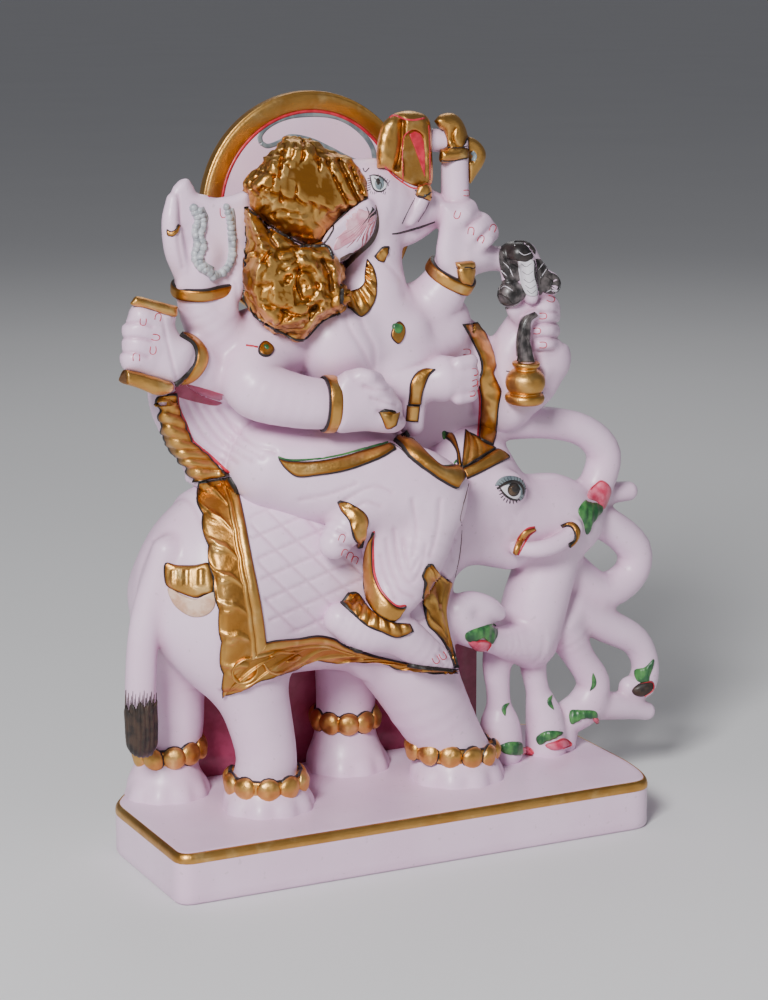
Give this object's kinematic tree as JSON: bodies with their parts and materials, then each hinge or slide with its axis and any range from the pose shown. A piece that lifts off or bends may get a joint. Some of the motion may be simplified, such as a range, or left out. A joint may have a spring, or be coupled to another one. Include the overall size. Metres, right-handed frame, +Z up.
{
  "type": "marble idol figurine",
  "caption": "Carved marble idol: a boar-faced deity with many arms, seated on an elephant with a fan of trunks, gold-leafed, on a plinth.",
  "frame": {"origin": "on the plinth's flat underside, midway between its front and back faces", "axes": "+X along the plinth towards the elephant's head, -Y the carved front, +Z up"},
  "size_m": [0.2532, 0.098, 0.3046],
  "materials": {
    "marble": "polished white marble",
    "gold_leaf": "burnished gold leaf on carved stone",
    "painted_detail": "satin paint on marble"
  },
  "bodies": {
    "root": {"manibhadra_idol": "marble"}
  },
  "joints": []
}
